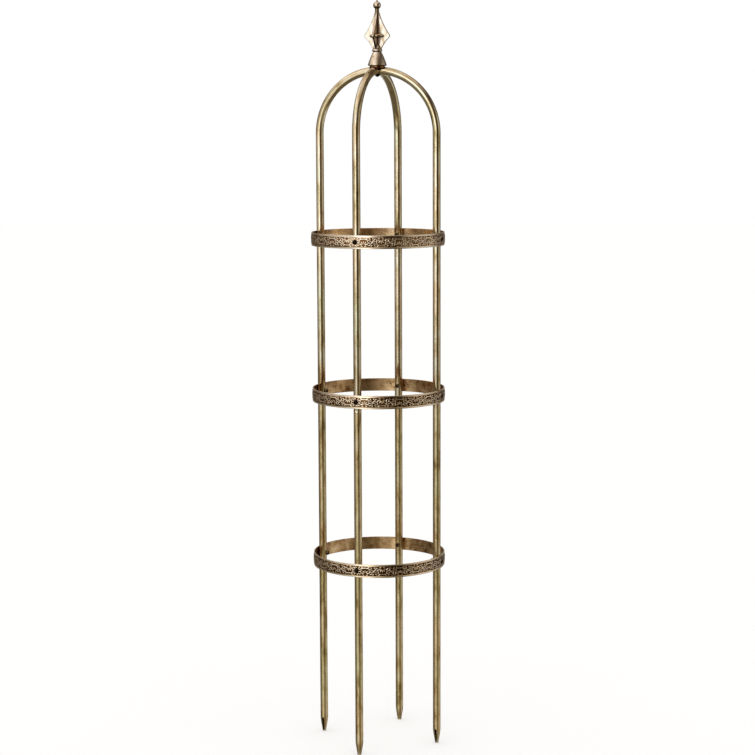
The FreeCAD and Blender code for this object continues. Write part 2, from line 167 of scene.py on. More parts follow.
def quads_between(rows, columns, close_rows, close_columns):
    """Four-sided faces of a rows by columns grid of points, as an index array. Each joins a point, its
    right neighbour and the two above them; a closed direction wraps from its last line to its first."""
    row = np.arange(rows if close_rows else rows - 1)[:, None]
    column = np.arange(columns if close_columns else columns - 1)[None, :]
    below = row * columns
    above = (row + 1) % rows * columns
    right = (column + 1) % columns
    faces = np.stack([below + column, below + right, above + right, above + column], axis=-1)
    return faces.reshape(-1, 4)


def outward(points, faces):
    """The faces, turned round if the closed shape they make has a negative volume."""
    a, b, c, d = (points[faces[:, k]] for k in range(4))
    volume = np.einsum("ij,ij->i", a, np.cross(b, c)) + np.einsum("ij,ij->i", a, np.cross(c, d))
    return faces if volume.sum() > 0 else faces[:, ::-1]


def welded(points, faces):
    """Points that lie within a hundredth of a millimetre of each other become one. Also returns which
    of the old points were kept."""
    keys = np.round(points / (0.01 * MM)).astype(np.int64)
    _, first, place = np.unique(keys, axis=0, return_index=True, return_inverse=True)
    faces = place.reshape(-1)[faces]
    distinct = (faces[:, 0] != faces[:, 2]) & (faces[:, 1] != faces[:, 3])
    return points[first], faces[distinct], first


def smoothstep(value):
    """0 up to 0, 1 from 1 on, and 3 value^2 - 2 value^3 between them."""
    value = np.clip(value, 0, 1)
    return value * value * (3 - 2 * value)


def new_piece(name, points, faces, node, slot, material, **attributes):
    """One closed mesh from arrays of points and four-sided faces. It stands for a CAD node.
    attributes are arrays of one value or one vector for each point."""
    faces = outward(points, faces)
    count = len(faces)
    mesh = bpy.data.meshes.new(name)
    mesh.vertices.add(len(points))
    mesh.vertices.foreach_set("co", points.astype(np.float32).ravel())
    mesh.loops.add(count * 4)
    mesh.loops.foreach_set("vertex_index", faces.astype(np.int32).ravel())
    mesh.polygons.add(count)
    mesh.polygons.foreach_set("loop_start", np.arange(0, count * 4, 4, dtype=np.int32))
    mesh.polygons.foreach_set("use_smooth", np.ones(count, dtype=bool))
    mesh.update(calc_edges=True)
    for label, values in attributes.items():
        kind, field = ("FLOAT_VECTOR", "vector") if values.ndim == 2 else ("FLOAT", "value")
        layer = mesh.attributes.new(label, kind, "POINT")
        layer.data.foreach_set(field, values.astype(np.float32).ravel())
    mesh.set_sharp_from_angle(angle=math.radians(40))
    piece = bpy.data.objects.new(name, mesh)
    bpy.context.scene.collection.objects.link(piece)
    mesh.materials.append(material)
    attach(piece, "root")
    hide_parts(node)


# ---------------------------------------------------------------- tubes

def hoop_path():
    """Distances along a hoop from one cut end to the other: fine near the ends, where the locking
    dimples are, and round the bend, coarse on the straight arms."""
    arm = SPRING_Z - JOINT_Z
    bend = math.pi * CIRCLE_R
    first_arm = np.concatenate([
        np.array([0, END_ROW]),
        np.arange(FIRST_ROW, DIMPLE_ZONE, ROW_STEP),
        np.linspace(DIMPLE_ZONE, arm, ARM_ROWS),
    ])
    round_part = arm + np.linspace(0, bend, BEND_ROWS)[1:-1]
    return np.concatenate([first_arm, round_part, 2 * arm + bend - first_arm[::-1]]), arm, bend


def hoop_skin(radius, open_side, along, arm, bend):
    """A circle of the given radius carried along two straight arms and a half circle.
    Near the crown the half of the section on the open side folds into the other half.
    A dimple is a bell-shaped hollow in the outward side of each arm, just above its cut end.
    Returns points as rows by columns by (across, sideways, up), and the run of the tube: the place
    round the section and the distance along it, which the brushed pattern follows."""
    angle = np.linspace(0, TAU, TUBE_COLUMNS, endpoint=False)
    side, out = radius * np.cos(angle), radius * np.sin(angle)
    turn = np.clip((along - arm) / CIRCLE_R, 0, math.pi)
    centre_x = CIRCLE_R * np.cos(turn)
    climb = np.where(along < arm, along, np.clip(2 * arm + bend - along, 0, arm))
    on_bend = (along > arm) & (along < arm + bend)
    centre_z = JOINT_Z + climb + np.where(on_bend, CIRCLE_R * np.sin(turn), 0)

    reach = np.abs(along - arm - bend / 2)
    fold = np.where(reach < LAP_ROUND, smoothstep((LAP_ROUND - reach) / (LAP_ROUND - LAP_FLAT)), 0)[:, None]
    loose = (out * open_side > 0)[None, :]
    folded = -out * (1 - FOLD_WALLS * TUBE_WALL / TUBE_R)
    out = np.where(loose, out[None, :] * (1 - fold) + folded[None, :] * fold, out[None, :])

    end_gap = np.minimum(along, 2 * arm + bend - along)[:, None]
    distance = ((end_gap - DIMPLE_UP) / DIMPLE_LONG) ** 2 + (side[None, :] / DIMPLE_WIDE) ** 2
    out = out - DIMPLE_DEEP * np.exp(-distance) * (np.sin(angle) > 0)[None, :]

    across = centre_x[:, None] + out * np.cos(turn)[:, None]
    up = centre_z[:, None] + out * np.sin(turn)[:, None]
    place_round = [np.broadcast_to(radius * f(angle), across.shape) for f in (np.cos, np.sin)]
    run = np.stack([*place_round, np.broadcast_to(along[:, None], across.shape)], axis=-1)
    return np.stack([across, np.broadcast_to(side, across.shape), up], axis=-1), run


def make_hoop(node, open_side, turned, material):
    """Outer skin up the tube, inner skin back down it, closed over both cut ends."""
    along, arm, bend = hoop_path()
    outer, outer_run = hoop_skin(TUBE_R, open_side, along, arm, bend)
    inner, inner_run = hoop_skin(TUBE_R - TUBE_WALL, open_side, along, arm, bend)
    for end in (0, -1):
        outer[end] = inner[end] + (outer[end] - inner[end]) * CUT_EDGE
    points = np.concatenate([outer, inner[::-1]])
    run = np.concatenate([outer_run, inner_run[::-1]])
    if turned:
        across, sideways, up = points[..., 0], points[..., 1], points[..., 2]
        points = np.stack([-sideways, across, up], axis=-1)
    faces = quads_between(points.shape[0], points.shape[1], True, True)
    new_piece("tube_" + node, points.reshape(-1, 3), faces, node, "upper_tube", material,
              run=run.reshape(-1, 3))


def leg_profile():
    """Height and outer radius up a lower tube: tapered tip, straight tube, shoulder and spigot. The
    taper's radius is the foot's, plus the rest times a power of the sine of a quarter turn."""
    tip = np.linspace(0, TIP_LENGTH, TIP_ROWS)
    tip_r = TIP_R + (TUBE_R - TIP_R) * np.sin(tip / TIP_LENGTH * math.pi / 2) ** TIP_POWER
    straight = np.linspace(TIP_LENGTH, JOINT_Z - SHOULDER_ROUND, STRAIGHT_ROWS)[1:]
    heights = np.concatenate([tip, straight, [JOINT_Z, JOINT_Z, SPIGOT_TOP]])
    shoulder = [TUBE_R - SHOULDER_ROUND, SPIGOT_R, SPIGOT_R]
    return heights, np.concatenate([tip_r, np.full(len(straight), TUBE_R), shoulder])


def make_leg(node, direction, material):
    """Two half tubes side by side: each half's edge columns stand off the middle by half the slit,
    which widens up from the foot and ends in a round top, where the halves join to a whole tube.
    Near the tip the tube is also squeezed along the line to the axis, as a crimping tool leaves it."""
    heights, radii = leg_profile()
    rows = len(heights)
    flank = SLIT_FOOT_HALF + (SLIT_HALF - SLIT_FOOT_HALF) * heights / SLIT_SHOULDER
    above = np.clip((heights - SLIT_SHOULDER) / SLIT_HALF, 0, 1)
    half_gap = np.where(heights < SLIT_SHOULDER, flank, SLIT_HALF * np.sqrt(1 - above ** 2))
    squeeze = 1 - TIP_CRIMP * (1 - smoothstep(heights / TIP_LENGTH))
    part = np.linspace(0, 1, HALF_COLUMNS)
    shells = []
    for skin_radius in (radii, np.maximum(radii - TUBE_WALL, LEAST_BORE)):
        start = np.arcsin(np.clip(half_gap / skin_radius, 0, 1))
        angle = start[:, None] + (math.pi - 2 * start)[:, None] * part[None, :]
        x = skin_radius[:, None] * np.sin(angle) * squeeze[:, None]
        y = skin_radius[:, None] * np.cos(angle)
        shells.append(np.stack([x, y, np.broadcast_to(heights[:, None], x.shape)], axis=-1))
    outer, inner = shells

    # the slit's walls join the two skins along both edge columns, as far up as the slit goes
    walls = []
    low = np.flatnonzero(half_gap > 0)
    high = low + 1
    for column in (0, HALF_COLUMNS - 1):
        wall_rows = np.stack([low, high, 2 * rows - 1 - high, 2 * rows - 1 - low], axis=-1)
        wall = wall_rows * HALF_COLUMNS + column
        walls.append(wall if column else wall[:, ::-1])
    half_faces = np.concatenate([quads_between(2 * rows, HALF_COLUMNS, True, False)] + walls)
    half_points = np.concatenate([outer, inner[::-1]]).reshape(-1, 3)
    points = np.concatenate([half_points, half_points * np.array([-1, -1, 1])])
    faces = np.concatenate([half_faces, half_faces + len(half_points)])
    inside = np.repeat([0, 1, 0, 1], rows * HALF_COLUMNS)
    points, faces, kept = welded(points, faces)

    angle = math.atan2(direction[1], direction[0])
    c, s = math.cos(angle), math.sin(angle)
    turn = np.array([[c, -s, 0], [s, c, 0], [0, 0, 1]])
    placed = points @ turn.T + np.array([direction[0] * CIRCLE_R, direction[1] * CIRCLE_R, 0])
    new_piece("tube_" + node, placed, faces, node, "lower_tube", material,
              run=points + np.array([0, 0, RUN_SHIFT * angle]), inside=inside[kept])


# ---------------------------------------------------------------- embossed bands

def ridge(distance, half_width):
    """A rounded bead: 1 on its line, falling as a parabola to 0 at half_width."""
    return np.clip(1 - (distance / half_width) ** 2, 0, 1)


def leaf(along, across, x, y, angle, length, width):
    """A pointed oval, domed, with a groove along its middle: 1 - (v / (1 - u^2))^2, times the root of
    1 - u^2, where u runs along the leaf and v across it, both 1 at its rim."""
    c, s = math.cos(angle), math.sin(angle)
    u = ((along - x) * c + (across - y) * s) / length
    v = (-(along - x) * s + (across - y) * c) / width
    belly = np.clip(1 - u * u, 0, 1)
    dome = np.clip(1 - (v / np.maximum(belly, 1e-6)) ** 2, 0, 1) * (np.abs(u) < 1)
    return dome * (LEAF_TOP - LEAF_GROOVE * ridge(v, GROOVE_WIDTH)) * np.sqrt(belly)


def band_relief(along, across, wave):
    """Height of the pressed pattern from 0 to 1, the highest of its parts at each place. A vine runs
    as a sine wave. Each bend holds a fan of leaves between two scrolls, with small leaves on both
    sides of the vine and crossed leaves where it crosses the middle. Odd bends mirror even ones, so
    one bend is worked out and folded over."""
    half = wave / 2
    bend = np.floor(along / half)
    x = along - (bend + 0.5) * half
    y = across * np.where(bend % 2 == 0, 1, -1)
    k = TAU / wave
    slope = VINE_SWING * k * np.sin(k * x)
    parts = [ridge((y - VINE_SWING * np.cos(k * x)) / np.sqrt(1 + slope ** 2), VINE_HALF_WIDTH)]
    for turn in np.linspace(FAN_START, math.pi - FAN_START, FAN_LEAVES):
        foot = FAN_REACH * math.cos(turn), FAN_Y + FAN_REACH * math.sin(turn)
        parts.append(leaf(x, y, *foot, turn, *FAN_LEAF))
    for side in (-1, 1):
        parts.append(ridge(np.hypot(x - SCROLL_X * side, y - SCROLL_Y) - SCROLL_R, SCROLL_HALF_WIDTH))
        parts.append(leaf(x, y, half / 2 * side, 0, side * CROSS_ANGLE, *CROSS_LEAF))
        for spray_x, spray_y, angle, length in SPRAYS:
            width = SPRAY_SLIMNESS * length
            parts.append(leaf(x, y, spray_x * side, spray_y, angle * side, length, width))
    return np.maximum.reduce(parts)


def make_band(node, material):
    """A closed hoop of strip. Outer radius = ground + crown x (1 - (2 height / depth)^2) + relief,
    with a raised lip along each edge; the inner face is a plain cylinder."""
    low, high = BANDS[node]
    inside = CIRCLE_R + TUBE_R + BAND_GAP
    ground = BAND_OUT - RELIEF_RISE - CROWN_RISE - SKIN_GAP
    half_depth = BAND_DEPTH / 2
    flat = half_depth - EDGE_ROUND

    across = np.linspace(-flat, flat, BAND_ROWS)
    angle = np.linspace(0, TAU, BAND_COLUMNS, endpoint=False)
    reach = BAND_OUT / MM
    along_mm = (angle * reach)[None, :]
    across_mm = (across / MM)[:, None]
    off_middle = np.abs(across_mm)
    pattern = band_relief(along_mm, across_mm, TAU * reach / VINE_WAVES)
    pattern = pattern * smoothstep((FIELD_HALF - off_middle) / FIELD_FADE)
    lip = ridge(off_middle - (half_depth / MM - LIP_IN), LIP_HALF_WIDTH) * np.ones_like(pattern)
    crown = CROWN_RISE * (1 - (across / half_depth) ** 2)[:, None]
    outer_r = ground + crown + RELIEF_RISE * pattern + LIP_RISE * lip
    margin = RUBBED_MARGIN * smoothstep((off_middle - FIELD_HALF) / MARGIN_FADE)
    raised = np.maximum(pattern, np.maximum(margin, RUBBED_EDGE * lip))

    def ring(radius, height, rubbed):
        return [np.broadcast_to(value, (1, BAND_COLUMNS)) for value in (radius, height, rubbed)]

    third = half_depth * BORE_ROWS
    parts = [
        ring(outer_r[0] - EDGE_ROUND, -half_depth, RUBBED_EDGE),
        [outer_r, np.broadcast_to(across[:, None], outer_r.shape), raised],
        ring(outer_r[-1] - EDGE_ROUND, half_depth, RUBBED_EDGE),
        ring(inside + EDGE_ROUND, half_depth, RUBBED_EDGE),
        # the inner face's value: partly its duller plating, partly painted light set for each band
        *(ring(inside, z, BORE_WEAR_AND_PAINTED_LIGHT[node]) for z in (flat, third, -third, -flat)),
        ring(inside + EDGE_ROUND, -half_depth, RUBBED_EDGE),
    ]
    radius, height, raised = (np.concatenate(layer) for layer in zip(*parts))
    height = height + (low[2] + high[2]) / 2
    points = np.stack([radius * np.cos(angle), radius * np.sin(angle), height], axis=-1)
    faces = quads_between(points.shape[0], BAND_COLUMNS, True, True)
    # the value added to the whole band is painted light: the top band lighter, the bottom band darker
    new_piece("embossed_" + node, points.reshape(-1, 3), faces, node, "embossed_band", material,
              raised=(raised + FACE_WEAR_AND_PAINTED_LIGHT[node]).ravel())


# ---------------------------------------------------------------- node building

# A colour mix's sockets, which Blender tells apart by number only, and its two uses here
SHARE, FIRST, SECOND, MIXED = 0, 6, 7, 2
OVER = {"data_type": "RGBA", "blend_type": "MIX"}
TIMES = {"data_type": "RGBA", "blend_type": "MULTIPLY"}


def colour(code):
    """An sRGB hex value as linear red, green, blue and alpha."""
    parts = [int(code[i:i + 2], 16) / 255 for i in (1, 3, 5)]
    return [p / 12.92 if p <= 0.04045 else ((p + 0.055) / 1.055) ** 2.4 for p in parts] + [1]


def wire(node, sockets):
    """Fills a node's sockets. Each entry is socket: value, or socket: (node, output) for a link."""
    for socket, value in sockets.items():
        if isinstance(value, tuple) and isinstance(value[0], bpy.types.Node):
            node.id_data.links.new(value[0].outputs[value[1]], node.inputs[socket])
        else:
            node.inputs[socket].default_value = value


def add(tree, kind, sockets, stops=(), **settings):
    """Adds a node with its settings, its sockets and, for a colour ramp, its stops: pairs of a place
    and an sRGB hex value or a linear colour."""
    made = tree.nodes.new(kind)
    for name, value in settings.items():
        setattr(made, name, value)
    for _ in stops[2:]:
        made.color_ramp.elements.new(0.5)
    for index, (place, value) in enumerate(stops):
        made.color_ramp.elements[index].position = place
        made.color_ramp.elements[index].color = colour(value) if isinstance(value, str) else value
    wire(made, sockets)
    return made


def new_material(name):
    """A material with nothing but a Principled shader on its surface."""
    material = bpy.data.materials.new(name)
    material.use_nodes = True
    tree = material.node_tree
    tree.nodes.clear()
    shader = add(tree, "ShaderNodeBsdfPrincipled", {})
    add(tree, "ShaderNodeOutputMaterial", {"Surface": (shader, "BSDF")})
    return material, tree, shader


def between(tree, value, low, high, ease):
    """1 where a node's value lies between low and high, fading to 0 within ease outside them."""
    above = add(tree, "ShaderNodeMapRange", {"Value": value, "From Min": low - ease, "From Max": low})
    under = add(tree, "ShaderNodeMapRange", {"Value": value, "From Min": high, "From Max": high + ease,
                                             "To Min": 1.0, "To Max": 0.0})
    both = add(tree, "ShaderNodeMath", {0: (above, "Result"), 1: (under, "Result")}, operation="MULTIPLY")
    return both, "Value"


# ---------------------------------------------------------------- materials

# A noise's scale is 1 / the size of its features across, in metres.
WHITE = "#ffffff"
RUST = "#2b1a10"
UNDERCUT_BROWN = "#8a5a3c"
# painted shade colours: in the blades' corner, along the cast edges and under overhangs
CORNER_SHADE_BROWN = "#5a4028"
EDGE_SHADE_BROWN = "#63482e"
UNDERSIDE_SHADE_BROWN = "#5c4029"
CORNER_SHADE_REACH = 4 * MM          # how far from the axis the painted shade in the blades' corner reaches, and its fade
EDGE_SHADE_REACH = 4.5 * MM          # how far in from an edge the painted edge shade reaches
PLATE_RISE = 31 * MM            # the spear's round plate: above the collar, radius, half its height
PLATE_R = 18.5 * MM
PLATE_HALF = 4 * MM
UNDERCUT_RISE = 1.8 * MM        # how far above the tubes the bell's undercut stays brown
FLOOR_GLOW = 0.35


def brushed_brass_tube(name, tones, pitted, rough, depth):
    """Steel tube, antique brass plated, brushed along its length and lacquered. The plating is cut
    back unevenly, which gives the eye long streaks, darker patches and a fine dark speckle. tones go
    from patina to bright plating, pitted is what a pit leaves of them, rough is (bright, pitted)
    roughness and depth is the strength of the bumps."""
    material, tree, shader = new_material(name)
    run = (add(tree, "ShaderNodeAttribute", {}, attribute_name="run"), "Vector")

    # patches of patina about 13 mm wide and 53 mm long
    drawn = add(tree, "ShaderNodeMapping", {"Vector": run, "Scale": (1, 1, 0.25)})
    patches = add(tree, "ShaderNodeTexNoise", {"Vector": (drawn, "Vector"), "Scale": 1 / (13.3333 * MM),
                                               "Detail": 4, "Roughness": 0.62})
    tone = add(tree, "ShaderNodeValToRGB", {"Fac": (patches, "Fac")},
               stops=[(0.34, tones[0]), (0.46, tones[1]), (0.62, tones[2])])

    # brush lines about 1 mm apart and 60 mm long, coarser than real ones so that they show
    drawn = add(tree, "ShaderNodeMapping", {"Vector": run, "Scale": (1, 1, 0.015)})
    lines = add(tree, "ShaderNodeTexNoise", {"Vector": (drawn, "Vector"), "Scale": 1 / (1 * MM),
                                             "Detail": 3, "Roughness": 0.6})
    streak = add(tree, "ShaderNodeValToRGB", {"Fac": (lines, "Fac")},
                 stops=[(0.32, "#eaeaea"), (0.58, WHITE)])

    # dark pits of about 3 mm, twice as long as wide
    drawn = add(tree, "ShaderNodeMapping", {"Vector": run, "Scale": (1, 1, 0.5)})
    speckle = add(tree, "ShaderNodeTexNoise", {"Vector": (drawn, "Vector"), "Scale": 1 / (3.0303 * MM),
                                               "Detail": 5, "Roughness": 0.72})
    spots = add(tree, "ShaderNodeValToRGB", {"Fac": (speckle, "Fac")}, stops=[(0.32, pitted), (0.43, WHITE)])

    # the plating bath leaves stretches of 100 to 200 mm a little redder or greener
    drawn = add(tree, "ShaderNodeMapping", {"Vector": run, "Scale": (1, 1, 0.6)})
    bath = add(tree, "ShaderNodeTexNoise", {"Vector": (drawn, "Vector"), "Scale": 1 / (111.111 * MM),
                                            "Detail": 2, "Roughness": 0.5})
    tint = add(tree, "ShaderNodeValToRGB", {"Fac": (bath, "Fac")},
               stops=[(0.38, "#fff5ef"), (0.5, WHITE), (0.62, "#f7fdf5")])

    base = (tone, "Color")
    for layer in (streak, spots, tint):
        base = add(tree, "ShaderNodeMix", {SHARE: 1.0, FIRST: base, SECOND: (layer, "Color")},
                   **TIMES), MIXED
    # the bore was never brushed: it stays nearly black with rust
    inside = add(tree, "ShaderNodeAttribute", {}, attribute_name="inside")
    base = add(tree, "ShaderNodeMix", {SHARE: (inside, "Fac"), FIRST: base, SECOND: colour(RUST)},
               **OVER), MIXED

    gloss = add(tree, "ShaderNodeMapRange", {"Value": (speckle, "Fac"), "From Min": 0.3, "From Max": 0.6,
                                             "To Min": rough[1], "To Max": rough[0]})
    brush = add(tree, "ShaderNodeBump", {"Strength": depth, "Distance": 0.2 * MM, "Height": (lines, "Fac")})
    dents = add(tree, "ShaderNodeBump", {"Strength": depth, "Distance": 1.0 * MM, "Height": (speckle, "Fac"),
                                         "Normal": (brush, "Normal")})
    wire(shader, {"Base Color": base, "Metallic": 1.0, "Roughness": (gloss, "Result"),
                  "Normal": (dents, "Normal")})
    return material


def embossed_brass_strip():
    """Rolled steel strip, embossed, brass plated and darkened: the recesses keep the brown patina and
    the high parts are rubbed bright, which gives the eye a light pattern on a dark ground. The plain
    inner face is brushed round the hoop."""
    material, tree, shader = new_material("embossed brass strip, patina rubbed back")
    raised = add(tree, "ShaderNodeAttribute", {}, attribute_name="raised")
    place = (add(tree, "ShaderNodeTexCoord", {}), "Object")

    # uneven rubbing in patches of about 26 mm, and a grain of 1.6 mm, coarser than real so that it
    # shows
    patches = add(tree, "ShaderNodeTexNoise", {"Vector": place, "Scale": 1 / (26.3158 * MM),
                                               "Detail": 4, "Roughness": 0.6})
    grain = add(tree, "ShaderNodeTexNoise", {"Vector": place, "Scale": 1 / (1.6129 * MM),
                                             "Detail": 4, "Roughness": 0.75})
    shift = add(tree, "ShaderNodeMapRange", {"Value": (patches, "Fac"), "From Min": 0.3, "From Max": 0.7,
                                             "To Min": -0.13, "To Max": 0.18})
    sparkle = add(tree, "ShaderNodeMapRange", {"Value": (grain, "Fac"), "From Min": 0.35, "From Max": 0.65,
                                               "To Min": -0.1, "To Max": 0.12})
    worn = add(tree, "ShaderNodeMath", {0: (raised, "Fac"), 1: (shift, "Result")}, operation="ADD")
    worn = add(tree, "ShaderNodeMath", {0: (worn, "Value"), 1: (sparkle, "Result")}, operation="ADD")
    tone = add(tree, "ShaderNodeValToRGB", {"Fac": (worn, "Value")},
               stops=[(0.0, "#3a200b"), (0.14, "#80542b"), (0.3, "#dbb585"), (0.44, "#ffe0b6"),
                      (0.75, "#fff1dc")])

    # brush lines round the hoop: 1.25 mm apart along Z and 40 mm long, coarser than real ones so that
    # they show
    drawn = add(tree, "ShaderNodeMapping", {"Vector": place, "Scale": (0.03, 0.03, 1)})
    lines = add(tree, "ShaderNodeTexNoise", {"Vector": (drawn, "Vector"), "Scale": 1 / (1.25 * MM),
                                             "Detail": 3, "Roughness": 0.6})
    brushed = add(tree, "ShaderNodeValToRGB", {"Fac": (lines, "Fac")},
                  stops=[(0.34, "#e2e2e2"), (0.58, WHITE)])
    base = add(tree, "ShaderNodeMix", {SHARE: 0.8, FIRST: (tone, "Color"), SECOND: (brushed, "Color")},
               **TIMES), MIXED

    gloss = add(tree, "ShaderNodeMapRange", {"Value": (worn, "Value"), "From Min": 0.1, "From Max": 0.6,
                                             "To Min": 0.3, "To Max": 0.15})
    rough = add(tree, "ShaderNodeBump", {"Strength": 0.14, "Distance": 0.3 * MM, "Height": (grain, "Fac")})
    brush = add(tree, "ShaderNodeBump", {"Strength": 0.2, "Distance": 0.15 * MM, "Height": (lines, "Fac"),
                                         "Normal": (rough, "Normal")})
    wire(shader, {"Base Color": base, "Metallic": 1.0, "Roughness": (gloss, "Result"),
                  "Normal": (brush, "Normal")})
    return material


def cast_brass(undercut, blades, plate_z):
    """Cast metal, antique brass plated, which gives the eye a soft uneven polish. The undercut below the bell
    is coloured brown. Painted shade darkens the corner where the four blades meet, the blades' edges and
    the underside of each overhang. undercut and blades are (low, high) heights; plate_z is the middle of
    the round plate, whose rim is left out of the painted edge shade."""
    material, tree, shader = new_material("cast brass, antique plated")
    spot = (add(tree, "ShaderNodeTexCoord", {}), "Object")

    # polish that varies over 9 mm across and 18 mm up, and casting pits of about 2 mm
    drawn = add(tree, "ShaderNodeMapping", {"Vector": spot, "Scale": (1, 1, 0.5)})
    patches = add(tree, "ShaderNodeTexNoise", {"Vector": (drawn, "Vector"), "Scale": 1 / (9.0909 * MM),
                                               "Detail": 4, "Roughness": 0.62})
    pits = add(tree, "ShaderNodeTexNoise", {"Vector": spot, "Scale": 1 / (1.92308 * MM),
                                            "Detail": 4, "Roughness": 0.7})
    tone = add(tree, "ShaderNodeValToRGB", {"Fac": (patches, "Fac")},
               stops=[(0.32, "#b3946f"), (0.46, "#e0cbae"), (0.62, "#f3e8d8")])
    dark = add(tree, "ShaderNodeValToRGB", {"Fac": (pits, "Fac")}, stops=[(0.3, "#bcaa95"), (0.45, WHITE)])
    base = add(tree, "ShaderNodeMix", {SHARE: 1.0, FIRST: (tone, "Color"), SECOND: (dark, "Color")},
               **TIMES), MIXED

    place = add(tree, "ShaderNodeSeparateXYZ", {"Vector": spot})
    flat = add(tree, "ShaderNodeVectorMath", {0: spot, 1: (1, 1, 0)}, operation="MULTIPLY")
    radius = add(tree, "ShaderNodeVectorMath", {0: (flat, "Vector")}, operation="LENGTH"), "Value"
    hollow = between(tree, (place, "Z"), *undercut, ease=0.5 * MM)
    # painted shade in the corner where the four blades meet, close to the axis
    core = between(tree, radius, -CORNER_SHADE_REACH, CORNER_SHADE_REACH, ease=CORNER_SHADE_REACH)
    on_blades = between(tree, (place, "Z"), *blades, ease=1 * MM)
    corner = add(tree, "ShaderNodeMath", {0: core, 1: on_blades}, operation="MULTIPLY")

    # painted edge shade: near an edge the rounded normal leaves the true one, and the metal there is darkened;
    # the round plate's edge is left out of it
    geometry = add(tree, "ShaderNodeNewGeometry", {})
    rounded = add(tree, "ShaderNodeBevel", {"Radius": EDGE_SHADE_REACH}, samples=8)
    same = add(tree, "ShaderNodeVectorMath", {0: (rounded, "Normal"), 1: (geometry, "Normal")},
               operation="DOT_PRODUCT")
    painted_edge_shade = add(tree, "ShaderNodeMapRange", {"Value": (same, "Value"), "From Min": 0.78, "From Max": 0.985,
                                                 "To Min": 0.9, "To Max": 0.0})
    on_plate = between(tree, (place, "Z"), plate_z - PLATE_HALF, plate_z + PLATE_HALF, ease=0.5 * MM)
    inward = between(tree, radius, -PLATE_R, PLATE_R, ease=1 * MM)
    plate = add(tree, "ShaderNodeMath", {0: on_plate, 1: inward}, operation="MULTIPLY")
    edge = add(tree, "ShaderNodeMath", {0: (painted_edge_shade, "Result"), 1: (plate, "Value")}, operation="SUBTRACT",
               use_clamp=True)
    # painted shade: faces that point downwards are darkened brown
    facing = add(tree, "ShaderNodeSeparateXYZ", {"Vector": (geometry, "Normal")})
    painted_underside_shade = add(tree, "ShaderNodeMapRange", {"Value": (facing, "Z"), "From Min": -0.5, "From Max": -0.12,
                                                   "To Min": 0.9, "To Max": 0.0})

    # the undercut below the bell is coloured brown; the corner, edge and underside browns are painted shade
    for share, patina in ((hollow, UNDERCUT_BROWN), ((corner, "Value"), CORNER_SHADE_BROWN),
                          ((edge, "Value"), EDGE_SHADE_BROWN), ((painted_underside_shade, "Result"), UNDERSIDE_SHADE_BROWN)):
        base = add(tree, "ShaderNodeMix", {SHARE: share, FIRST: base, SECOND: colour(patina)},
                   **OVER), MIXED
    gloss = add(tree, "ShaderNodeMapRange", {"Value": (patches, "Fac"), "From Min": 0.3, "From Max": 0.7,
                                             "To Min": 0.26, "To Max": 0.14})
    bump = add(tree, "ShaderNodeBump", {"Strength": 0.12, "Distance": 0.3 * MM, "Height": (pits, "Fac")})
    wire(shader, {"Base Color": base, "Metallic": 1.0, "Roughness": (gloss, "Result"),
                  "Normal": (bump, "Normal")})
    return material


def oxide_steel(name, dark, rubbed):
    """Turned and pressed steel with an oxide finish, slightly oily, which gives the eye a dark, soft
    shine that is a little browner where it is rubbed, in spots of about 1.7 mm."""
    material, tree, shader = new_material(name)
    place = (add(tree, "ShaderNodeTexCoord", {}), "Object")
    rub = add(tree, "ShaderNodeTexNoise", {"Vector": place, "Scale": 1 / (1.66667 * MM),
                                           "Detail": 3, "Roughness": 0.6})
    tone = add(tree, "ShaderNodeValToRGB", {"Fac": (rub, "Fac")}, stops=[(0.35, dark), (0.7, rubbed)])
    gloss = add(tree, "ShaderNodeMapRange", {"Value": (rub, "Fac"), "To Min": 0.3, "To Max": 0.5})
    bump = add(tree, "ShaderNodeBump", {"Strength": 0.2, "Distance": 0.1 * MM, "Height": (rub, "Fac")})
    wire(shader, {"Base Color": (tone, "Color"), "Metallic": 1.0, "Roughness": (gloss, "Result"),
                  "Normal": (bump, "Normal")})
    return material


def pale_floor():
    """Matt painted board, which gives the eye an even pale ground with no shine. Its faint glow keeps
    it as light as the backdrop, so that no horizon shows."""
    material, tree, shader = new_material("matt pale floor")
    wire(shader, {"Base Color": colour("#f1f0ee"), "Emission Color": colour(WHITE),
                  "Emission Strength": FLOOR_GLOW, "Roughness": 1.0, "Specular IOR Level": 0.0})
    return material


# ---------------------------------------------------------------- the obelisk

upper_brass = brushed_brass_tube("brushed brass tube, coppery", tones=("#b0986a", "#dfcaa2", "#f0e6cc"),
                                 pitted="#ad9579", rough=(0.1, 0.2), depth=0.05)
lower_brass = brushed_brass_tube("brushed brass tube, dull", tones=("#a2885a", "#d6be8c", "#eddcb6"),
                                 pitted="#c4b59e", rough=(0.2, 0.34), depth=0.1)
strip_brass = embossed_brass_strip()
finial_brass = cast_brass(undercut=(BELL_Z, CROWN_Z + TUBE_R + UNDERCUT_RISE),
                          blades=(SPEAR_LOW, SPEAR_HIGH), plate_z=COLLAR_TOP + PLATE_RISE)
black_steel = oxide_steel("black oxide steel", "#1a110b", "#3c2c1f")
brown_steel = oxide_steel("brown oxide steel", "#4a3826", "#7d6446")

make_hoop("hoop_left_right", 1, False, upper_brass)
make_hoop("hoop_front_back", -1, True, upper_brass)
for side, direction in (("right", (1, 0)), ("back", (0, 1)), ("left", (-1, 0)), ("front", (0, -1))):
    make_leg("leg_" + side, direction, lower_brass)
for node in BANDS:
    make_band(node, strip_brass)

# the pieces that keep their CAD shape, by the first word of their names
FINISHES = {"screws": black_steel, "nuts": brown_steel, "crown": black_steel, "finial": finial_brass}
for name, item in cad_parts.items():
    family = name.split("_")[0]
    if family in FINISHES:
        item.data.materials.clear()
        item.data.materials.append(FINISHES[family])


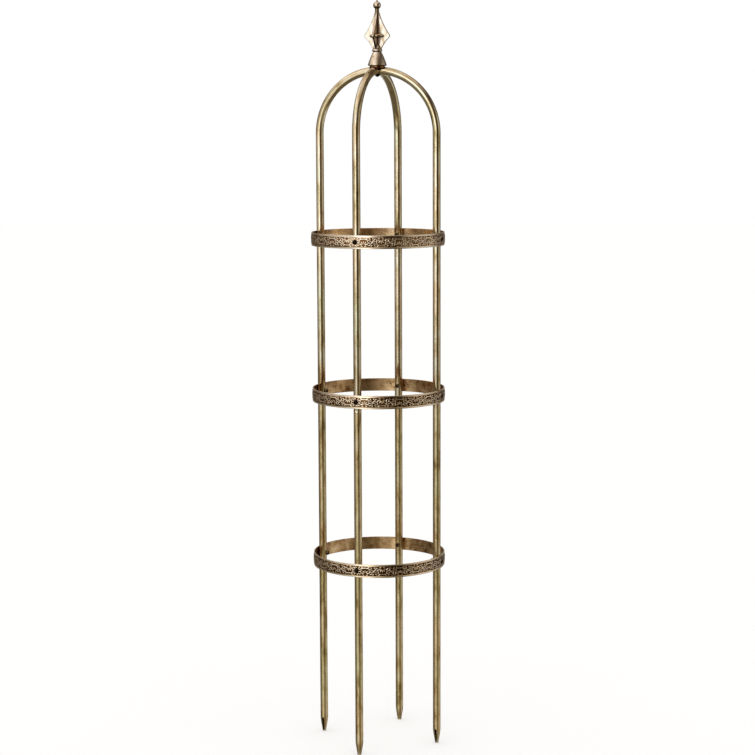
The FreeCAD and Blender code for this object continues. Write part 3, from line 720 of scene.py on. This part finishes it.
# ---------------------------------------------------------------- floor, light and camera

FLOOR_RINGS = (0.01, 1.0, 4.0, 24.0)
FLOOR_COLUMNS = 64

# The camera, in metres: round from the front, away from the axis, up, aside, tilted down and rolled
VIEW_TURN = math.radians(19.7)
CAMERA_AWAY = 4.752
CAMERA_HIGH = 1.544
CAMERA_ASIDE = -0.0026
CAMERA_DOWN = math.radians(7.587)
CAMERA_ROLL = math.radians(0.24)
FOCAL_IN_FRAMES = 2.5854
SENSOR = 36

# What the metal mirrors, as (degrees round from the camera's side, red, green, blue), linear, each ring
# with the heights over which it takes the place of the ring below it. A height is a direction's sine.
FLOOR_TONES = [(-180, 0.42, 0.4, 0.35), (-140, 0.22, 0.2, 0.16), (-100, 0.2, 0.19, 0.16),
               (-62, 0.32, 0.3, 0.26), (-34, 1.05, 1.05, 0.98), (-14, 0.8, 0.77, 0.69),
               (6, 0.42, 0.38, 0.3), (27, 0.18, 0.155, 0.1), (62, 0.56, 0.53, 0.47),
               (97, 0.72, 0.7, 0.66), (135, 0.32, 0.3, 0.26), (180, 0.42, 0.4, 0.35)]
PANELS_LOW = [(-180, 0.32, 0.3, 0.26), (-155, 0.16, 0.14, 0.11), (-130, 0.1, 0.085, 0.06),
              (-84, 0.1, 0.085, 0.06), (-60, 0.28, 0.27, 0.22), (-29, 0.5, 0.49, 0.42),
              (-8, 0.27, 0.25, 0.18), (27, 0.065, 0.058, 0.038), (60, 0.36, 0.34, 0.28),
              (97, 0.56, 0.56, 0.54), (135, 0.16, 0.14, 0.11), (180, 0.32, 0.3, 0.26)]
PANELS_HIGH = [(-180, 0.4, 0.37, 0.33), (-160, 0.22, 0.19, 0.16), (-135, 0.12, 0.09, 0.065),
               (-97, 0.45, 0.42, 0.38), (-70, 0.78, 0.76, 0.73), (-44, 0.88, 0.88, 0.9),
               (-36, 1.7, 1.82, 1.9), (-17, 1.9, 2.04, 2.12), (-9, 0.85, 0.82, 0.8),
               (-1, 0.36, 0.31, 0.26), (8, 0.1, 0.062, 0.035), (16, 0.03, 0.015, 0.006),
               (40, 0.025, 0.013, 0.005), (52, 0.3, 0.25, 0.19), (66, 0.52, 0.49, 0.42),
               (95, 0.5, 0.49, 0.45), (130, 0.1, 0.08, 0.06), (155, 0.15, 0.12, 0.1),
               (180, 0.4, 0.37, 0.33)]
PANELS_TOP = [(-180, 0.5, 0.46, 0.42), (-130, 1.0, 0.99, 0.98), (-95, 1.4, 1.42, 1.46),
              (-38, 1.2, 1.22, 1.26), (-12, 0.65, 0.62, 0.58), (6, 0.26, 0.215, 0.17),
              (24, 0.08, 0.055, 0.038), (100, 0.07, 0.048, 0.03), (140, 0.08, 0.06, 0.045),
              (180, 0.5, 0.46, 0.42)]
STUDIO_RINGS = [(-0.62, -0.48, FLOOR_TONES), (-0.26, -0.19, PANELS_LOW), (-0.17, -0.06, PANELS_HIGH),
                (0.3, 0.6, PANELS_TOP)]
BELOW = [0.15, 0.128, 0.088, 1]
OVERHEAD = [0.85, 0.76, 0.72, 1]
OVERHEAD_FADE = (0.7, 0.93)
EVEN_LIGHT = 0.75


def make_floor():
    """A round sheet of floor: circles of points at the rings' radii, wide enough to pass the view."""
    angle = np.linspace(0, TAU, FLOOR_COLUMNS, endpoint=False)
    radius = np.array(FLOOR_RINGS)[:, None]
    rings = len(FLOOR_RINGS)
    level = np.zeros((rings, FLOOR_COLUMNS))
    points = np.stack([radius * np.cos(angle), radius * np.sin(angle), level], axis=-1)
    sheet = quads_between(rings, FLOOR_COLUMNS, False, True)[:, ::-1].tolist()
    mesh = bpy.data.meshes.new("floor")
    mesh.from_pydata(points.reshape(-1, 3).tolist(), [], sheet + [list(range(FLOOR_COLUMNS))])
    floor = bpy.data.objects.new("floor", mesh)
    bpy.context.scene.collection.objects.link(floor)
    mesh.materials.append(pale_floor())
    # the metal mirrors the studio's floor tones instead, which are darker than this bright sheet
    floor.visible_glossy = False


def make_camera():
    """The camera stands round from the front by VIEW_TURN; its lens is FOCAL_IN_FRAMES sensors long."""
    data = bpy.data.cameras.new("camera")
    data.sensor_width = SENSOR
    data.lens = FOCAL_IN_FRAMES * SENSOR
    camera = bpy.data.objects.new("camera", data)
    bpy.context.scene.collection.objects.link(camera)
    turn = Matrix.Rotation(VIEW_TURN, 4, "Z")
    place = turn @ Vector((CAMERA_ASIDE, -CAMERA_AWAY, CAMERA_HIGH))
    tilt = Matrix.Rotation(math.pi / 2 - CAMERA_DOWN, 4, "X")
    camera.matrix_world = Matrix.Translation(place) @ turn @ tilt @ Matrix.Rotation(-CAMERA_ROLL, 4, "Z")
    bpy.context.scene.camera = camera


def make_studio():
    """Even white light for the floor and a white backdrop. What the metal mirrors is different: rings
    of soft panels, with a strong one to the left of the front view, a dark gap beside it and a fainter
    one to the right. Lower down they fade into the floor's tones, and overhead is one wide even panel.
    The rings are fixed round the obelisk and don't follow the camera."""
    world = bpy.data.worlds.new("studio")
    world.use_nodes = True
    bpy.context.scene.world = world
    tree = world.node_tree
    tree.nodes.clear()
    direction = add(tree, "ShaderNodeTexCoord", {})
    turned = add(tree, "ShaderNodeMapping", {"Vector": (direction, "Generated"),
                                             "Rotation": (0, 0, -VIEW_TURN)})
    parts = add(tree, "ShaderNodeSeparateXYZ", {"Vector": (turned, "Vector")})
    back = add(tree, "ShaderNodeMath", {0: (parts, "Y"), 1: -1.0}, operation="MULTIPLY")
    angle = add(tree, "ShaderNodeMath", {0: (parts, "X"), 1: (back, "Value")}, operation="ARCTAN2")
    share = add(tree, "ShaderNodeMapRange", {"Value": (angle, "Value"), "From Min": -math.pi,
                                             "From Max": math.pi})

    mirror = BELOW
    for low, high, panels in STUDIO_RINGS:
        stops = [((degrees + 180) / 360, (red, green, blue, 1)) for degrees, red, green, blue in panels]
        ring = add(tree, "ShaderNodeValToRGB", {"Fac": (share, "Result")}, stops=stops)
        climb = add(tree, "ShaderNodeMapRange", {"Value": (parts, "Z"), "From Min": low, "From Max": high})
        mirror = add(tree, "ShaderNodeMix", {SHARE: (climb, "Result"), FIRST: mirror,
                                             SECOND: (ring, "Color")}, **OVER), MIXED
    climb = add(tree, "ShaderNodeMapRange", {"Value": (parts, "Z"), "From Min": OVERHEAD_FADE[0],
                                             "From Max": OVERHEAD_FADE[1]})
    mirror = add(tree, "ShaderNodeMix", {SHARE: (climb, "Result"), FIRST: mirror, SECOND: OVERHEAD},
                 **OVER), MIXED

    mirrored = add(tree, "ShaderNodeBackground", {"Color": mirror, "Strength": 1.0})
    even = add(tree, "ShaderNodeBackground", {"Color": colour(WHITE), "Strength": EVEN_LIGHT})
    seen = add(tree, "ShaderNodeBackground", {"Color": colour(WHITE), "Strength": 1.0})
    ray = add(tree, "ShaderNodeLightPath", {})
    glossy = add(tree, "ShaderNodeMixShader", {0: (ray, "Is Glossy Ray"), 1: (even, "Background"),
                                               2: (mirrored, "Background")})
    final = add(tree, "ShaderNodeMixShader", {0: (ray, "Is Camera Ray"), 1: (glossy, "Shader"),
                                              2: (seen, "Background")})
    add(tree, "ShaderNodeOutputWorld", {"Surface": (final, "Shader")})
    bpy.context.scene.view_settings.view_transform = "Standard"


make_floor()
make_camera()
make_studio()
bpy.context.view_layer.update()
